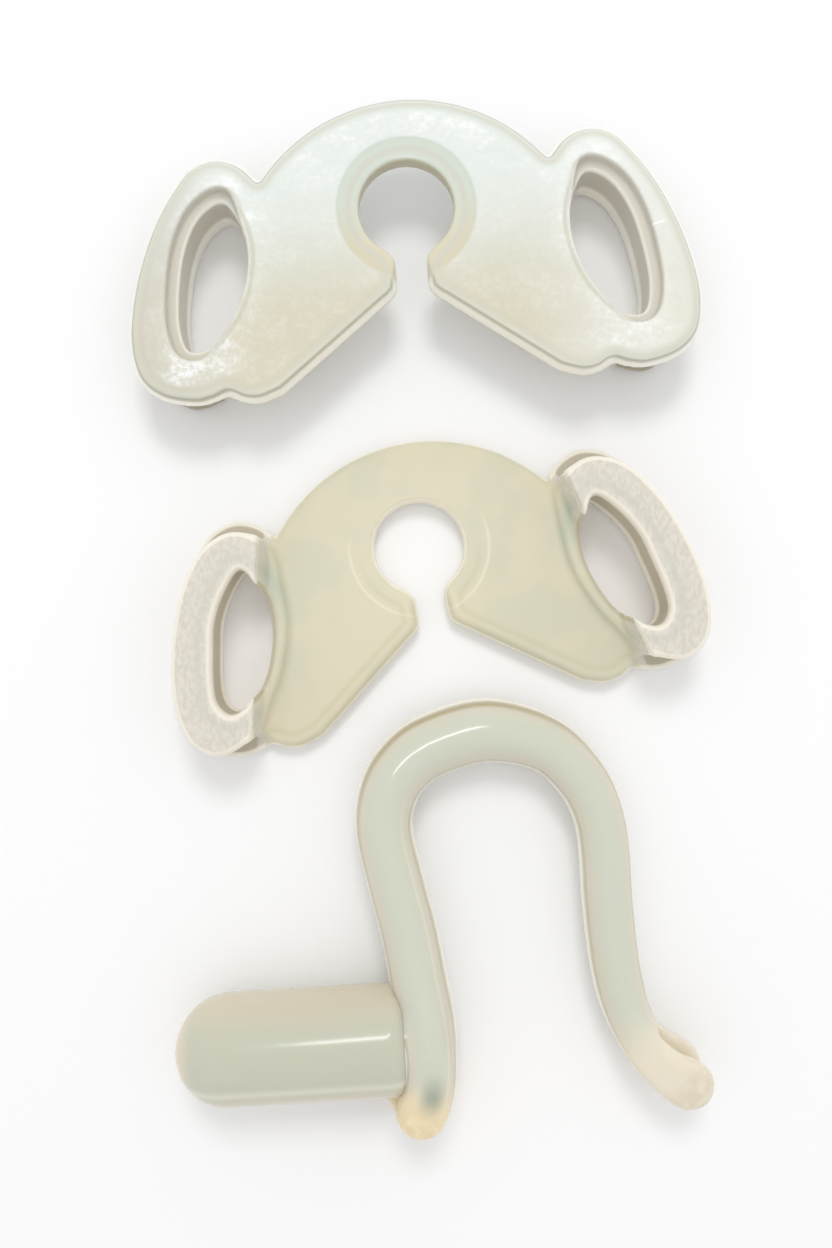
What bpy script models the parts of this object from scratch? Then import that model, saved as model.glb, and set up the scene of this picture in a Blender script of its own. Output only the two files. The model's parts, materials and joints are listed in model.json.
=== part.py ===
"""Cheek retractor set: two winged keyhole plates and a spring bow with a handle rod.

Three soft mouldings lie side by side on a flat surface. Both plates are the same part: the upper
one lies front face up and the lower one front face down. Each moulding bends at one place, so it
is made of two halves that meet there: above the keyhole on a plate, and at the crown on the bow.
They meet on a round knuckle about the flex axis, so that neither half runs into the other.
Lengths are in millimetres in this script, and become metres where a mesh is made.
"""

import math

import bmesh
import bpy
from mathutils import Matrix, Vector

MM = 0.001
GAP = 0.3

# Winged keyhole plate, in its own frame: keyhole centre at the origin, front face towards +Z.
WING_DEPTH = 12.5
BODY_THICKNESS = 4.2
FLANGE_THICKNESS = 2.2
RIM_HEIGHT = 1.6
KEYHOLE_RADIUS = 7.5
RING_RADIUS = 10.7
RING_DEPTH = 0.5
CROWN_Y = 17.3
CROWN_RADIUS = 29.0
NOTCH_ANGLE = 38.8
NECK_ANGLE = -50.0
FLEX_Y = (CROWN_Y + KEYHOLE_RADIUS) / 2
KNUCKLE_RADIUS = 5.3

# Outer edge of the front flange, from the notch at the top of the wing round to the lower edge.
FRONT_FLANGE = [
    (25.2, 9.2), (28.9, 10.5), (32.7, 9.6), (35.4, 7.2), (39.2, 1.8), (42.1, -4.4),
    (44.1, -10.8), (45.0, -17.2), (44.0, -23.0), (40.6, -26.4), (35.5, -27.8), (32.2, -27.4),
    (30.0, -26.7), (27.6, -27.8), (24.9, -28.0), (21.5, -26.9),
]
# Lower edge at the slot, up the side of the slot and into the keyhole.
SLOT_SIDE = [(4.9, -14.6), (3.3, -13.4), (2.5, -12.0), (2.5, -8.5), (3.2, -7.1)]
# Rear flange, smaller than the front one, from the top of the wing to its bottom.
REAR_FLANGE = [
    (23.6, 5.4), (26.4, 7.3), (29.8, 7.5), (33.7, 5.0), (37.5, -0.6), (40.2, -8.3),
    (41.5, -16.1), (40.8, -23.0), (37.4, -26.5), (34.2, -27.0), (31.2, -25.8),
]
# Hole through the wing, and the wall round it that joins the two flanges.
WING_HOLE = [
    (28.9, 3.9), (32.6, 1.7), (35.2, -3.1), (36.6, -9.3), (37.0, -15.0), (35.8, -18.9),
    (32.1, -18.4), (28.1, -14.1), (25.9, -8.8), (25.4, -3.6), (26.7, 1.2),
]
WING_WALL = [
    (23.6, 5.3), (27.0, 6.6), (30.6, 5.8), (34.4, 3.0), (37.3, -2.4), (38.8, -9.0),
    (39.2, -15.3), (37.7, -21.0), (34.4, -24.6), (31.0, -25.6), (28.6, -20.2), (26.2, -15.6),
    (23.8, -9.4), (23.2, -3.4),
]
# Line from notch to notch where the wing leaves the body.
WING_ROOT_TOP = (23.2, 5.9)
WING_ROOT_BOTTOM = (30.8, -26.0)
RELIEF_MARGIN = 6.0

# Where the plates lie: keyhole centre and turn about +Z, in the layout's frame.
UPPER_PLATE_PLACE = (-1.5, 64.7, 5.0)
LOWER_PLATE_PLACE = (0.5, 12.6, 11.9)

# Spring bow: centre line, half width across the bow, and half height. The crown is the last
# point of the left leg and the first of the right one.
LEFT_LEG = [
    (-0.3, -80.3, 7.0, 3.6, 5.6), (0.6, -76.9, 7.4, 4.2, 6.4), (2.1, -72.3, 8.2, 4.1, 6.9),
    (2.4, -66.0, 8.6, 4.1, 7.3), (1.7, -61.2, 8.6, 4.4, 6.8), (0.5, -56.5, 8.4, 4.6, 5.6),
    (-1.1, -48.7, 8.0, 4.6, 4.6), (-3.2, -40.9, 7.4, 4.6, 4.6), (-5.1, -33.0, 6.6, 4.6, 4.6),
    (-4.5, -27.2, 6.2, 4.8, 4.8), (-1.9, -22.7, 5.8, 5.0, 5.0), (2.7, -19.4, 5.4, 5.2, 5.2),
    (11.5, -17.1, 5.3, 5.2, 5.2),
]
RIGHT_LEG = [
    (11.5, -17.1, 5.3, 5.2, 5.2), (20.9, -19.4, 5.3, 4.6, 4.7), (26.5, -24.7, 5.6, 4.3, 4.4),
    (29.2, -30.3, 6.0, 4.1, 4.2), (30.2, -36.3, 6.2, 4.1, 4.1), (30.7, -44.3, 6.3, 4.1, 4.1),
    (31.8, -53.9, 6.4, 4.0, 4.1), (33.4, -60.4, 6.4, 3.9, 4.3), (36.0, -66.0, 6.4, 3.7, 5.0),
    (39.2, -69.7, 6.4, 3.9, 5.9), (42.7, -72.1, 6.4, 4.2, 6.2), (46.0, -73.4, 6.4, 3.4, 5.4),
]
BOW_KNUCKLE_RADIUS = 5.6
TUBE_SIDES = 16
CHANNEL_HEIGHT = 6.4
CHANNEL_WALL = 1.8
CHANNEL_LENGTH = 14.0

# Handle rod on the left leg.
HANDLE_RADIUS = 8.55
HANDLE_DOME = (-29.4, -67.3)
HANDLE_END = (-1.9, -65.6)
HANDLE_SIDES = 32
HANDLE_DOME_RINGS = 6


def polar(radius, degrees, centre=(0.0, 0.0)):
    """Return the point at an angle on a circle."""
    turn = math.radians(degrees)
    return centre[0] + radius * math.cos(turn), centre[1] + radius * math.sin(turn)


def arc(radius, start, end, steps, centre=(0.0, 0.0)):
    """Return points along a circle from one angle to another."""
    return [polar(radius, start + (end - start) * i / steps, centre) for i in range(steps + 1)]


def smooth(points, steps, closed=False):
    """Return points along a Catmull-Rom curve through the given ones, of any dimension."""
    count = len(points)
    last = count if closed else count - 1
    result = []
    for i in range(last):
        if closed:
            near = [points[(i + k) % count] for k in (-1, 0, 1, 2)]
        else:
            near = [points[min(max(i + k, 0), count - 1)] for k in (-1, 0, 1, 2)]
        for step in range(steps):
            t = step / steps
            weights = (
                -0.5 * t + t * t - 0.5 * t ** 3,
                1 - 2.5 * t * t + 1.5 * t ** 3,
                0.5 * t + 2 * t * t - 1.5 * t ** 3,
                -0.5 * t * t + 0.5 * t ** 3,
            )
            result.append(tuple(
                sum(w * p[axis] for w, p in zip(weights, near))
                for axis in range(len(points[0]))
            ))
    if not closed:
        result.append(tuple(points[-1]))
    return result


def new_object(name, bm):
    """Make an object of a bmesh in millimetres, with its faces pointing out."""
    bmesh.ops.scale(bm, vec=(MM, MM, MM), verts=bm.verts)
    bmesh.ops.recalc_face_normals(bm, faces=bm.faces)
    mesh = bpy.data.meshes.new(name)
    bm.to_mesh(mesh)
    bm.free()
    made = bpy.data.objects.new(name, mesh)
    bpy.context.scene.collection.objects.link(made)
    return made


def prism(name, outline, low, high):
    """Make an upright solid from a flat outline."""
    bm = bmesh.new()
    floor = bm.faces.new([bm.verts.new((x, y, low)) for x, y in outline])
    walls = bmesh.ops.extrude_face_region(bm, geom=[floor])
    raised = [item for item in walls["geom"] if isinstance(item, bmesh.types.BMVert)]
    bmesh.ops.translate(bm, vec=(0, 0, high - low), verts=raised)
    return new_object(name, bm)


def sweep(name, stations, grow=0.0):
    """Make a tube through stations of place, heading, half width and half height, with flat ends."""
    bm = bmesh.new()
    rings = []
    for place, along, width, height in stations:
        across = Vector((along.y, -along.x, 0))
        ring = []
        for side in range(TUBE_SIDES):
            turn = math.tau * side / TUBE_SIDES
            offset = across * (width + grow) * math.cos(turn)
            offset.z = (height + grow) * math.sin(turn)
            ring.append(bm.verts.new(place + offset))
        rings.append(ring)
    skin(bm, rings)
    return new_object(name, bm)


def skin(bm, rings):
    """Join rings of vertices with faces and close both ends."""
    for one, other in zip(rings, rings[1:]):
        for k in range(len(one)):
            following = (k + 1) % len(one)
            bm.faces.new((one[k], one[following], other[following], other[k]))
    bm.faces.new(rings[0])
    bm.faces.new(rings[-1])


def combine(target, tool, operation):
    """Apply an exact Boolean to the target and remove the tool."""
    modifier = target.modifiers.new(operation.lower(), "BOOLEAN")
    modifier.object = tool
    modifier.operation = operation
    modifier.solver = "EXACT"
    evaluated = target.evaluated_get(bpy.context.evaluated_depsgraph_get())
    result = bpy.data.meshes.new_from_object(evaluated)
    target.modifiers.clear()
    old = target.data
    target.data = result
    bpy.data.meshes.remove(old)
    bpy.data.objects.remove(tool)


def crossing(centre_y, radius, other_y, other_radius):
    """Return where two circles centred on the Y axis cross, on the +X side."""
    y = (radius ** 2 - other_radius ** 2 + other_y ** 2 - centre_y ** 2)
    y /= 2 * (other_y - centre_y)
    return math.sqrt(other_radius ** 2 - (y - other_y) ** 2), y


def angle_at(point, centre_y):
    """Return the angle of a point seen from a centre on the Y axis, in degrees."""
    return math.degrees(math.atan2(point[1] - centre_y, point[0]))


def plate_half(round_end):
    """Make the right half of a plate, with the round or the hollow side of the knuckle."""
    side = -1 if round_end else 1
    radius = KNUCKLE_RADIUS if round_end else KNUCKLE_RADIUS + GAP
    crown_y = CROWN_Y - CROWN_RADIUS
    outer = crossing(crown_y, CROWN_RADIUS, FLEX_Y, radius)
    inner_end = crossing(0.0, KEYHOLE_RADIUS, FLEX_Y, radius)
    outer = (side * outer[0], outer[1])
    inner_end = (side * inner_end[0], inner_end[1])
    crown = arc(CROWN_RADIUS, angle_at(outer, crown_y), NOTCH_ANGLE, 10, (0.0, crown_y))
    notch = crown[-1]
    keyhole = arc(KEYHOLE_RADIUS, NECK_ANGLE, angle_at(inner_end, 0.0), 14)
    low, high = angle_at(inner_end, FLEX_Y), angle_at(outer, FLEX_Y)
    if round_end:
        low += 360
    keyhole += arc(radius, low, high, 8, (0.0, FLEX_Y))[1:-1]
    flange = smooth([notch] + FRONT_FLANGE, 3)
    slot = smooth([*SLOT_SIDE, keyhole[0]], 2)
    back = WING_DEPTH - BODY_THICKNESS
    rim = crown[:-1] + flange + slot[:-1] + keyhole
    half = prism("half", rim, WING_DEPTH - FLANGE_THICKNESS, WING_DEPTH)
    lobe = smooth(FRONT_FLANGE[-4:], 3)
    beside_hole = [notch, (26.5, 5.0), (28.0, -8.0), (32.0, -24.0)]
    body = crown[:-1] + beside_hole + lobe + slot[:-1] + keyhole
    combine(half, prism("body", body, back, WING_DEPTH), "UNION")
    combine(half, wing_wall(back), "UNION")
    hole = prism("hole", smooth(WING_HOLE, 3, closed=True), -1.0, WING_DEPTH + 1.0)
    combine(half, hole, "DIFFERENCE")
    ring = prism("ring", arc(RING_RADIUS, 0, 350, 35), WING_DEPTH - RING_DEPTH, WING_DEPTH + 1.0)
    combine(half, ring, "DIFFERENCE")
    return half


def wing_wall(back):
    """Make the wall round the wing's hole and the rear flange on it, as one solid."""
    wall = prism("wall", smooth(WING_WALL, 3, closed=True), 0.0, WING_DEPTH)
    combine(wall, prism("rear", smooth(REAR_FLANGE, 3), 0.0, FLANGE_THICKNESS), "UNION")
    (top_x, top_y), (bottom_x, bottom_y) = WING_ROOT_TOP, WING_ROOT_BOTTOM
    slope = (bottom_x - top_x) / (bottom_y - top_y)
    high, low = top_y + RELIEF_MARGIN, bottom_y - RELIEF_MARGIN
    relief = [(0.0, high), (top_x + slope * RELIEF_MARGIN, high),
              (bottom_x - slope * RELIEF_MARGIN, low), (0.0, low)]
    combine(wall, prism("relief", relief, -1.0, back - RIM_HEIGHT), "DIFFERENCE")
    return wall


def mirror(made):
    """Reflect an object's mesh in the plane of symmetry."""
    made.data.transform(Matrix.Diagonal((-1, 1, 1, 1)))
    made.data.flip_normals()


def silicone(name, colour, roughness):
    """Make a soft, milky plastic."""
    material = bpy.data.materials.new(name)
    material.use_nodes = True
    shader = material.node_tree.nodes["Principled BSDF"]
    shader.inputs["Base Color"].default_value = (*colour, 1.0)
    shader.inputs["Roughness"].default_value = roughness
    shader.inputs["Metallic"].default_value = 0.0
    return material


def finish(made, name, parent, material):
    """Name a finished piece, hang it on its parent and shade it."""
    made.name = name
    made.data.name = name
    made.parent = parent
    made.data.materials.clear()
    made.data.materials.append(material)
    made.data.shade_smooth()
    made.data.set_sharp_from_angle(angle=math.radians(35))
    return made


def empty(name, parent, place):
    """Make an empty with a place in its parent's frame."""
    made = bpy.data.objects.new(name, None)
    bpy.context.scene.collection.objects.link(made)
    made.parent = parent
    made.matrix_basis = place
    return made


def shift(mesh, offset):
    """Move a mesh against its origin, so that the origin lies on the joint's axis."""
    mesh.transform(Matrix.Translation(-offset))


def plate(prefix, layout, place, face_down, material):
    """Place both halves of a plate; the right half turns about the flex line."""
    x, y, turn = place
    matrix = Matrix.Translation((x * MM, y * MM, 0)) @ Matrix.Rotation(math.radians(turn), 4, "Z")
    if face_down:
        matrix = matrix @ Matrix.Translation((0, 0, WING_DEPTH * MM))
        matrix = matrix @ Matrix.Rotation(math.pi, 4, "Y")
    base = empty(prefix + "_plate_frame", layout, matrix)
    flex = Vector((0, FLEX_Y * MM, 0))
    hinge = empty(prefix + "_plate_flex_axis", base, Matrix.Translation(flex))
    right = plate_half(round_end=True)
    left = plate_half(round_end=False)
    mirror(right if face_down else left)
    shift(right.data, flex)
    finish(left, prefix + "_plate_left_half", base, material)
    finish(right, prefix + "_plate_right_half", hinge, material)


def foot_channel(stations):
    """Make the cutter for the channel along a foot, from its tip, open to the bow's outside."""
    bm = bmesh.new()
    rings = []
    travelled = 0.0
    for i, (place, along, width, _) in enumerate(stations):
        travelled += (place - stations[max(i - 1, 0)][0]).length
        if travelled > CHANNEL_LENGTH:
            break
        open_way = Vector((-along.y, along.x, 0))
        rise = (travelled / CHANNEL_LENGTH) ** 3
        floor = (CHANNEL_WALL - width) * (1.0 - rise) + width * rise
        start = place + (place - stations[1][0]) if i == 0 else place
        corners = [(floor, -0.5), (width + 2.0, -0.5), (width + 2.0, 0.5), (floor, 0.5)]
        rings.append([
            bm.verts.new(start + open_way * out + Vector((0, 0, up * CHANNEL_HEIGHT)))
            for out, up in corners
        ])
    skin(bm, rings)
    return new_object("channel", bm)


def centre_line():
    """Return the bow's stations from the left foot to the right, and the crown's index."""
    steps = 2
    points = smooth(LEFT_LEG + RIGHT_LEG[1:], steps)
    places = [Vector(point[:3]) for point in points]
    stations = []
    for i, point in enumerate(points):
        along = places[min(i + 1, len(places) - 1)] - places[max(i - 1, 0)]
        along.z = 0
        stations.append((places[i], along.normalized(), point[3], point[4]))
    return stations, steps * (len(LEFT_LEG) - 1)


def hollow_knuckle():
    """Make the cutter that hollows the left leg's end for the right leg's round one."""
    centre = RIGHT_LEG[0][:2]
    circle = arc(BOW_KNUCKLE_RADIUS + GAP, 0, 350, 35, centre)
    return prism("hollow", circle, 0.0, 2 * BOW_KNUCKLE_RADIUS)


def beyond_knuckle():
    """Make the cutter that rounds the right leg's end about the crown's flex axis."""
    x, y = RIGHT_LEG[0][:2]
    reach = 3 * BOW_KNUCKLE_RADIUS
    outline = arc(BOW_KNUCKLE_RADIUS, 90, 270, 18, (x, y))
    outline += [(x, y - reach), (x - reach, y - reach), (x - reach, y + reach), (x, y + reach)]
    return prism("beyond", outline, -1.0, reach)


def bow(layout, material, handle_material):
    """Make both legs of the bow and the handle rod; the right leg turns about the crown."""
    frame = empty("bow_frame", layout, Matrix())
    crown = Vector(RIGHT_LEG[0][:3]) * MM
    hinge = empty("bow_flex_axis", frame, Matrix.Translation(crown))
    stations, middle = centre_line()
    left_stations = stations[:middle + 1]
    right_stations = stations[middle - 2:]
    left = sweep("left", left_stations)
    combine(left, foot_channel(left_stations), "DIFFERENCE")
    combine(left, hollow_knuckle(), "DIFFERENCE")
    right = sweep("right", right_stations)
    combine(right, foot_channel(right_stations[::-1]), "DIFFERENCE")
    combine(right, beyond_knuckle(), "DIFFERENCE")
    rod = handle()
    combine(rod, sweep("clearance", left_stations, grow=GAP), "DIFFERENCE")
    keep_largest(rod)
    shift(right.data, crown)
    finish(left, "bow_left_leg", frame, material)
    finish(right, "bow_right_leg", hinge, material)
    finish(rod, "handle_rod", frame, handle_material)


def handle():
    """Make the handle rod with its domed end, lying on the surface."""
    start, end = Vector((*HANDLE_DOME, HANDLE_RADIUS)), Vector((*HANDLE_END, HANDLE_RADIUS))
    length = (end - start).length
    profile = [(length, 0.0), (length, HANDLE_RADIUS)]
    for i in range(HANDLE_DOME_RINGS + 1):
        turn = math.radians(90 * i / HANDLE_DOME_RINGS)
        profile.append((-HANDLE_RADIUS * math.sin(turn), HANDLE_RADIUS * math.cos(turn)))
    bm = bmesh.new()
    points = [bm.verts.new((along, 0, radius)) for along, radius in profile]
    edges = [bm.edges.new(pair) for pair in zip(points, points[1:])]
    bmesh.ops.spin(bm, geom=points + edges, cent=(0, 0, 0), axis=(1, 0, 0), angle=math.tau,
                   steps=HANDLE_SIDES, use_merge=True, use_duplicate=False)
    bmesh.ops.remove_doubles(bm, verts=bm.verts, dist=0.001)
    heading = math.atan2(end.y - start.y, end.x - start.x)
    bm.transform(Matrix.Translation(start) @ Matrix.Rotation(heading, 4, "Z"))
    return new_object("rod", bm)


def keep_largest(made):
    """Drop the small offcuts that a Boolean leaves loose, keeping the biggest body."""
    bm = bmesh.new()
    bm.from_mesh(made.data)
    unseen = set(bm.verts)
    groups = []
    while unseen:
        stack = [unseen.pop()]
        group = set(stack)
        while stack:
            for edge in stack.pop().link_edges:
                for vert in edge.verts:
                    if vert in unseen:
                        unseen.discard(vert)
                        group.add(vert)
                        stack.append(vert)
        groups.append(group)
    biggest = max(groups, key=len)
    bmesh.ops.delete(bm, geom=[v for v in bm.verts if v not in biggest], context="VERTS")
    bm.to_mesh(made.data)
    bm.free()


def centre_layout(layout):
    """Move the layout so that the set's box is centred on the origin."""
    bpy.context.view_layer.update()
    corners = [
        piece.matrix_world @ vert.co
        for piece in bpy.data.objects if piece.type == "MESH"
        for vert in piece.data.vertices
    ]
    for axis in range(2):
        values = [corner[axis] for corner in corners]
        layout.location[axis] = -0.5 * (min(values) + max(values))
    bpy.context.view_layer.update()


def main():
    """Build the whole set."""
    for old in list(bpy.data.objects):
        bpy.data.objects.remove(old)
    layout = empty("layout", None, Matrix())
    upper = silicone("frosted_silicone", (0.76, 0.78, 0.70), 0.45)
    lower = silicone("milky_silicone", (0.69, 0.65, 0.50), 0.4)
    plate("upper", layout, UPPER_PLATE_PLACE, False, upper)
    plate("lower", layout, LOWER_PLATE_PLACE, True, lower)
    bow_material = silicone("bow_silicone", (0.66, 0.67, 0.57), 0.3)
    handle_material = silicone("handle_silicone", (0.58, 0.58, 0.45), 0.35)
    bow(layout, bow_material, handle_material)
    centre_layout(layout)


main()
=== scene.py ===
# %% [markdown]
# A soft cheek retractor set, moulded in milky silicone: two winged plates with a keyhole, and a
# spring bow with a handle rod. This lesson builds the visible surface of each moulding around the
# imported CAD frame, gives each one its own silicone, and lights the set on a plain pale table.
#
# Moulded silicone has no sharp corner anywhere: every edge is rounded by the mould and every
# inside corner has a fillet. So the shapes here are written as distance fields. A field says how
# far each place is from the surface, and two fields can be melted together with a soft fillet,
# which Boolean modifiers can't do.

# %% Frame
import json
import math

import bpy
import numpy as np
import openvdb
from mathutils import Matrix, Vector


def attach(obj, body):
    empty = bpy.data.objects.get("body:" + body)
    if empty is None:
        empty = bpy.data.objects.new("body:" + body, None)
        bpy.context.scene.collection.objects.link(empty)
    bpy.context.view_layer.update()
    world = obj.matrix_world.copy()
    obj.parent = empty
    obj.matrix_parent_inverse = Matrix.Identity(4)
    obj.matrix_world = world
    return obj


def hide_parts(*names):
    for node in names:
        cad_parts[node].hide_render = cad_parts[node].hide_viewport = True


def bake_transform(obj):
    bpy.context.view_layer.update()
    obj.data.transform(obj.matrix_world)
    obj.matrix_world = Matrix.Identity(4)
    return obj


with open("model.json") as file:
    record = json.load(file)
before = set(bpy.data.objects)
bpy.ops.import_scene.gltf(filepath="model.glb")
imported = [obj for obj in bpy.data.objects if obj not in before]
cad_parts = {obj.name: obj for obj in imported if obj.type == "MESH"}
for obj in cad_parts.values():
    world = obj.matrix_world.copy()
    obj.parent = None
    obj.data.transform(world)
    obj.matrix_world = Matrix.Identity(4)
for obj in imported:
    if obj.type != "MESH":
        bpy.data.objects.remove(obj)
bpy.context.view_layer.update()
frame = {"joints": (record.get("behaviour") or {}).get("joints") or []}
MM = 0.001
TO_METRES = Matrix.Scale(MM, 4)
pivots = {j["name"]: Vector(j["pos_m"]) / MM for j in frame["joints"] if "pos_m" in j}
print("hinges in mm:", {name: tuple(round(v, 1) for v in pivot) for name, pivot in pivots.items()})

# %% [markdown]
# Curves first. A moulder's outline has few points, and a smooth curve runs through them. The
# Catmull-Rom curve passes through every point it is given, so the numbers stay readable as sizes
# in millimetres, measured from the centre of the keyhole.

# %% Curves
def smooth(points, steps, closed=False):
    """Points along a Catmull-Rom curve through the given ones."""
    points = np.array(points, float)
    count = len(points)
    spans = count if closed else count - 1
    t = (np.arange(steps) / steps)[:, None]
    result = []
    for i in range(spans):
        picks = [i - 1, i, i + 1, i + 2]
        picks = [k % count if closed else min(max(k, 0), count - 1) for k in picks]
        a, b, c, d = points[picks]
        result.append(b + 0.5 * t * (c - a + t * (2 * a - 5 * b + 4 * c - d
                                                  + t * (3 * b - 3 * c + d - a))))
    if not closed:
        result.append(points[-1:])
    return np.concatenate(result)


def arc(radius, start, end, steps, centre=(0.0, 0.0)):
    """Points along a circle from one angle to another, in degrees."""
    turn = np.radians(np.linspace(start, end, steps + 1))
    return np.stack([centre[0] + radius * np.cos(turn), centre[1] + radius * np.sin(turn)], 1)


# %% [markdown]
# Now the fields. `outline_distance` measures, in the plane, how far each place is from a closed
# outline, negative inside. `slab` gives such an outline a thickness with rounded edges. `melt`
# and `carve` join and cut two solids with a fillet of the given size.

# %% Fields
# Larger than any size here.
FAR = 1e12


def outline_distance(points, x, y):
    """Signed distance of each place to a closed outline, negative inside it."""
    nearest = np.full(x.shape, FAR)
    inside = np.zeros(x.shape, bool)
    for (ax, ay), (bx, by) in zip(points, np.roll(points, -1, axis=0)):
        ex, ey = bx - ax, by - ay
        length = ex * ex + ey * ey
        if length < 1e-12:
            continue
        t = np.clip(((x - ax) * ex + (y - ay) * ey) / length, 0, 1)
        nearest = np.minimum(nearest, (x - ax - ex * t) ** 2 + (y - ay - ey * t) ** 2)
        if ay != by:
            inside ^= ((ay > y) != (by > y)) & (x < ax + ex * (y - ay) / (by - ay))
    return np.where(inside, -1, 1) * np.sqrt(nearest)


def slab(flat, z, low, high, rounding):
    """Field of an outline that is as thick as from low to high, with rounded edges."""
    upright = np.maximum(z - high, low - z) + rounding
    across = flat + rounding
    outside = np.sqrt(np.maximum(across, 0) ** 2 + np.maximum(upright, 0) ** 2)
    return outside + np.minimum(np.maximum(across, upright), 0) - rounding


def melt(one, other, fillet):
    """Field of two solids joined with a fillet."""
    share = np.clip(0.5 + 0.5 * (other - one) / fillet, 0, 1)
    return other + (one - other) * share - fillet * share * (1 - share)


def carve(solid, tool, fillet):
    """Field of a solid with a tool's shape cut out of it, the edge rounded."""
    return -melt(-solid, tool, fillet)


def ramp(value, low, high):
    """Rise smoothly from 0 to 1 as a value goes from low to high; low may be the larger one."""
    t = np.clip((value - low) / (high - low), 0, 1)
    return t * t * (3 - 2 * t)


# %% [markdown]
# Node trees are built here in Python, for Geometry Nodes and for materials alike. One method
# makes a node and fills its sockets, and a node's output is wrapped so that it can be used in
# plain arithmetic: 1 - mask makes the Math node by itself.

# %% Nodes from Python
class Graph:
    """A node tree being made: one call makes one node, and gives back one of its outputs."""

    def __init__(self, tree):
        self.tree = tree

    def node(self, kind, settings=None, inputs=None, output=0):
        """Make a node: its settings first, then the values or links of its inputs."""
        made = self.tree.nodes.new(kind)
        for name, value in (settings or {}).items():
            setattr(made, name, value)
        for key, value in (inputs or {}).items():
            socket = made.inputs[key] if isinstance(key, int) else self.named(made.inputs, key)
            if isinstance(value, Signal):
                self.tree.links.new(value.socket, socket)
            else:
                socket.default_value = value
        if isinstance(output, str):
            return Signal(self, self.named(made.outputs, output))
        return Signal(self, made.outputs[output])

    @staticmethod
    def named(sockets, name):
        """The socket in use that has a name or an identifier."""
        return [s for s in sockets if name in (s.name, s.identifier) and s.enabled][0]

    def maths(self, operation, *values):
        """Make a Math node of this tree's own kind."""
        return self.node("ShaderNodeMath", {"operation": operation}, dict(enumerate(values)))

    def fade(self, value, low, high):
        """Rise smoothly from 0 to 1 as a value goes from low to high."""
        return self.node("ShaderNodeMapRange", {"interpolation_type": "SMOOTHSTEP"},
                         {"Value": value, "From Min": low, "From Max": high}, "Result")

    def band(self, value, low, high, soft):
        """1 between low and high, fading to 0 outside over a soft edge."""
        return self.fade(value, low - soft, low + soft) * self.fade(value, high + soft, high - soft)


class Signal:
    """A node's output that Python arithmetic can use; each sign adds a Math node."""

    def __init__(self, graph, socket):
        self.graph, self.socket = graph, socket

    def __add__(self, other):
        return self.graph.maths("ADD", self, other)

    def __radd__(self, other):
        return self.graph.maths("ADD", other, self)

    def __sub__(self, other):
        return self.graph.maths("SUBTRACT", self, other)

    def __rsub__(self, other):
        return self.graph.maths("SUBTRACT", other, self)

    def __mul__(self, other):
        return self.graph.maths("MULTIPLY", self, other)

    def __rmul__(self, other):
        return self.graph.maths("MULTIPLY", other, self)

    def __truediv__(self, other):
        return self.graph.maths("DIVIDE", self, other)


def new_tree(name, sockets):
    """Make an empty Geometry Nodes tree with named inputs, and give its graph and its inputs."""
    tree = bpy.data.node_groups.new(name, "GeometryNodeTree")
    for label, kind in sockets:
        tree.interface.new_socket(label, in_out="INPUT", socket_type="NodeSocket" + kind)
    tree.interface.new_socket("Mesh", in_out="OUTPUT", socket_type="NodeSocketGeometry")
    graph = Graph(tree)
    start = tree.nodes.new("NodeGroupInput")
    return graph, [Signal(graph, start.outputs[label]) for label, _ in sockets]


def close_tree(graph, mesh, silicone):
    """End a tree as the export needs it: plain geometry, with its material."""
    mesh = graph.node("GeometryNodeRealizeInstances", inputs={"Geometry": mesh})
    mesh = graph.node("GeometryNodeSetMaterial", inputs={"Geometry": mesh, "Material": silicone})
    graph.tree.links.new(mesh.socket, graph.tree.nodes.new("NodeGroupOutput").inputs[0])
    return graph.tree


def run_tree(made, tree, **values):
    """Run a tree on an object with the given inputs, and keep the result as its plain mesh."""
    modifier = made.modifiers.new(tree.name, "NODES")
    modifier.node_group = tree
    for item in tree.interface.items_tree:
        if item.in_out == "INPUT" and item.name.lower() in values:
            modifier[item.identifier] = values[item.name.lower()]
    evaluated = made.evaluated_get(bpy.context.evaluated_depsgraph_get())
    result = bpy.data.meshes.new_from_object(evaluated)
    made.modifiers.clear()
    old, made.data = made.data, result
    bpy.data.meshes.remove(old)
    result.name = made.name
    result.shade_smooth()
    print(f"{made.name}: {len(result.vertices)} points, {len(result.polygons)} faces")
    return made


# %% [markdown]
# A field becomes a mesh in two steps. OpenVDB, the volume library inside Blender, draws quads
# where the field is zero. A small Geometry Nodes tree then relaxes those quads: it blurs their
# places a little, which irons out the last traces of the grid, and sets the material.

# %% Mesh from a field
GRID_MM = 0.33


def skin_of(name, field, corner):
    """Mesh object of the surface where a field sampled from a corner is zero, in millimetres."""
    reach = 3 * GRID_MM
    grid = openvdb.FloatGrid(reach)
    grid.copyFromArray(np.clip(field, -reach, reach).astype(np.float32))
    points, quads = grid.convertToQuads(0.0)
    points = points * GRID_MM + np.array(corner)
    mesh = bpy.data.meshes.new(name)
    mesh.vertices.add(len(points))
    mesh.vertices.foreach_set("co", points.astype(np.float32).ravel())
    mesh.loops.add(quads.size)
    mesh.loops.foreach_set("vertex_index", quads.astype(np.int32).ravel())
    mesh.polygons.add(len(quads))
    mesh.polygons.foreach_set("loop_start", np.arange(0, quads.size, 4, dtype=np.int32))
    mesh.update(calc_edges=True)
    mesh.validate()
    made = bpy.data.objects.new(name, mesh)
    bpy.context.scene.collection.objects.link(made)
    if signed_volume(points, quads) < 0:
        mesh.flip_normals()
    return made


def signed_volume(points, quads):
    """Volume inside a closed mesh of quads, negative if its faces point inwards."""
    a, b, c, d = (points[quads[:, k]] for k in range(4))
    return float(np.sum(a * (np.cross(b, c) + np.cross(c, d)))) / 6


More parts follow.
